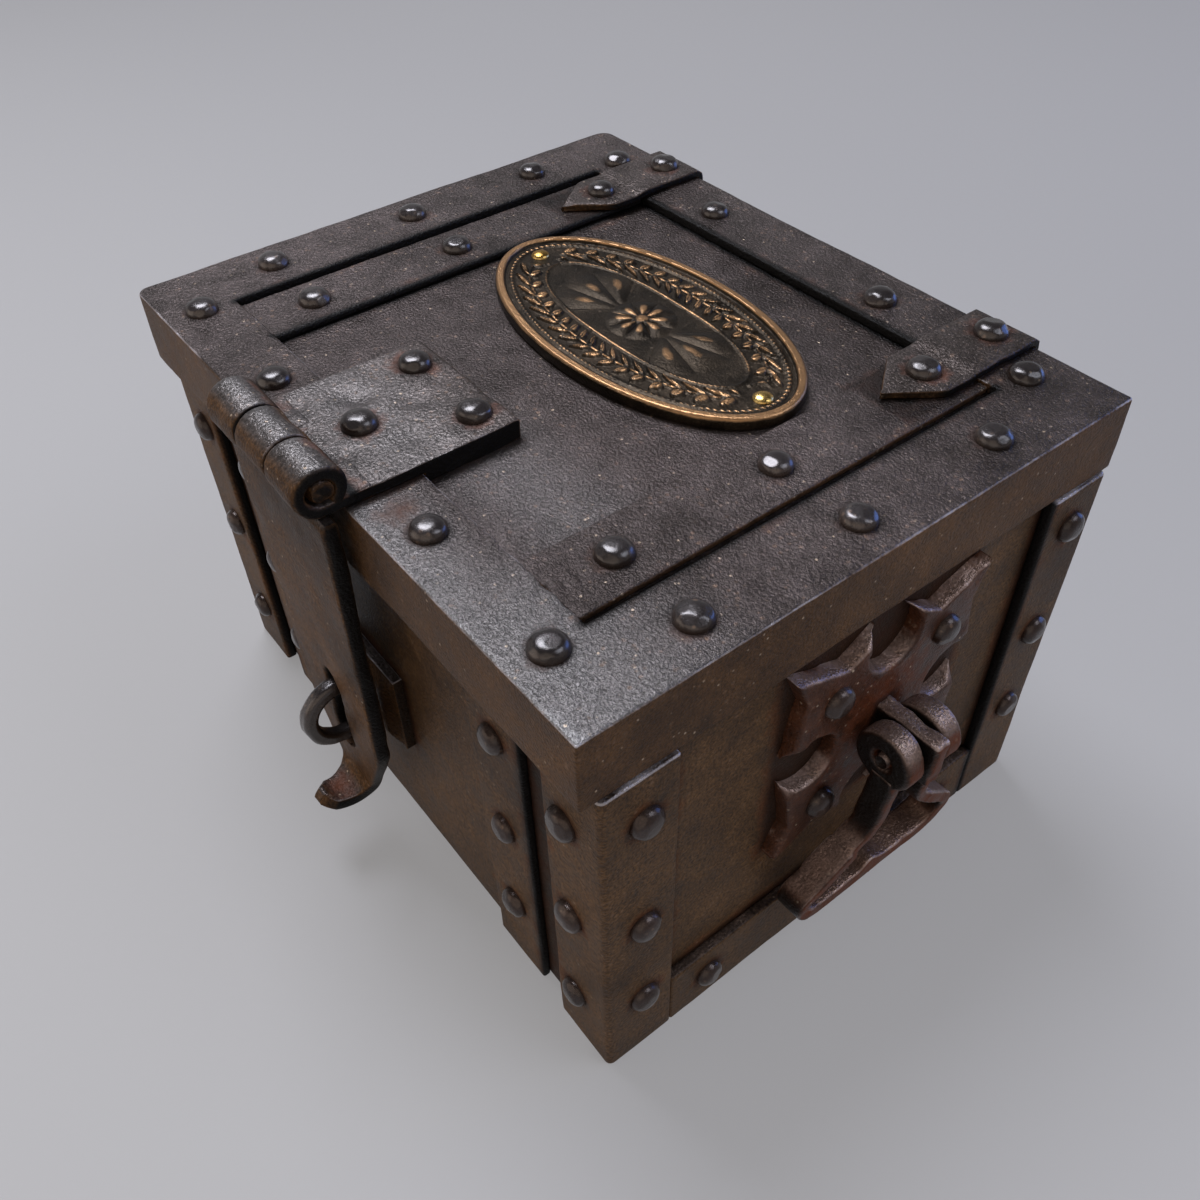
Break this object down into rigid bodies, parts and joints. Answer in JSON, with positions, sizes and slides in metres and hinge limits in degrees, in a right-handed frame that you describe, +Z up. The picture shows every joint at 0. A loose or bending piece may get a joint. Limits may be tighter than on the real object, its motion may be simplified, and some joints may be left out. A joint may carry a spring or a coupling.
{
  "type": "strongbox",
  "caption": "Small riveted iron strongbox with a hinged lid, a hasp that hangs over a padlock staple, drop handles on the sides and an oval blank plaque on the lid.",
  "frame": {"origin": "on the floor under the middle of the lid", "axes": "+Z up, +X to the right seen from the hasp side, -Y out of the front where the hasp hangs"},
  "size_m": [0.278, 0.2201, 0.171],
  "materials": {
    "cast_iron_lid": "worn",
    "cast_iron_body": "worn",
    "forged_iron": "worn",
    "rivet_iron": "polished by wear",
    "bronze_plaque": "dark patina",
    "brass_pins": "polished"
  },
  "bodies": {
    "box": {"back_left_corner_angle": "cast_iron_body", "back_left_strap": "cast_iron_body", "back_plate": "cast_iron_body", "back_right_corner_angle": "cast_iron_body", "back_right_strap": "cast_iron_body", "back_rivets": "rivet_iron", "bottom_plate": "cast_iron_body", "front_left_corner_angle": "cast_iron_body", "front_left_strap": "cast_iron_body", "front_plate": "cast_iron_body", "front_right_corner_angle": "cast_iron_body", "front_right_strap": "cast_iron_body", "front_rivets": "rivet_iron", "left_bottom_strap": "cast_iron_body", "left_handle_lug": "forged_iron", "left_handle_pin": "forged_iron", "left_handle_plate": "forged_iron", "left_handle_plate_rivets": "rivet_iron", "left_hinge_leaf": "forged_iron", "left_hinge_pin": "forged_iron", "left_side_plate": "cast_iron_body", "left_side_rivets": "rivet_iron", "right_bottom_strap": "cast_iron_body", "right_handle_lug": "forged_iron", "right_handle_pin": "forged_iron", "right_handle_plate": "forged_iron", "right_handle_plate_rivets": "rivet_iron", "right_hinge_leaf": "forged_iron", "right_hinge_pin": "forged_iron", "right_side_plate": "cast_iron_body", "right_side_rivets": "rivet_iron", "staple": "forged_iron", "staple_plate": "forged_iron"},
    "lid": {"lid_plate": "cast_iron_lid", "lid_front_rail": "cast_iron_lid", "lid_back_rail": "cast_iron_lid", "lid_left_rail": "cast_iron_lid", "lid_right_rail": "cast_iron_lid", "lid_left_strap": "cast_iron_lid", "lid_right_strap": "cast_iron_lid", "left_hinge_strap": "forged_iron", "right_hinge_strap": "forged_iron", "lid_rail_rivets": "rivet_iron", "lid_strap_rivets": "rivet_iron", "hinge_strap_rivets": "rivet_iron", "hasp_leaf": "forged_iron", "hasp_leaf_rivets": "rivet_iron", "hasp_pin": "forged_iron", "plaque": "bronze_plaque", "plaque_pins": "brass_pins"},
    "hasp": {"hasp": "forged_iron"},
    "right_handle": {"right_drop_handle": "forged_iron"},
    "left_handle": {"left_drop_handle": "forged_iron"}
  },
  "joints": [
    {"name": "lid_hinge", "type": "hinge", "parent": "box", "child": "lid", "pos_m": [0, 0.0975, 0.13], "axis": [-1, 0, 0], "range_deg": [0, 110]},
    {"name": "hasp_hinge", "type": "hinge", "parent": "lid", "child": "hasp", "pos_m": [-0.003, -0.0985, 0.1635], "axis": [-1, 0, 0], "range_deg": [0, 260]},
    {"name": "right_handle_swing", "type": "hinge", "parent": "box", "child": "right_handle", "pos_m": [0.128, 0.0055, 0.0915], "axis": [0, -1, 0], "range_deg": [0, 120]},
    {"name": "left_handle_swing", "type": "hinge", "parent": "box", "child": "left_handle", "pos_m": [-0.128, 0.0055, 0.0915], "axis": [0, 1, 0], "range_deg": [0, 120]}
  ]
}
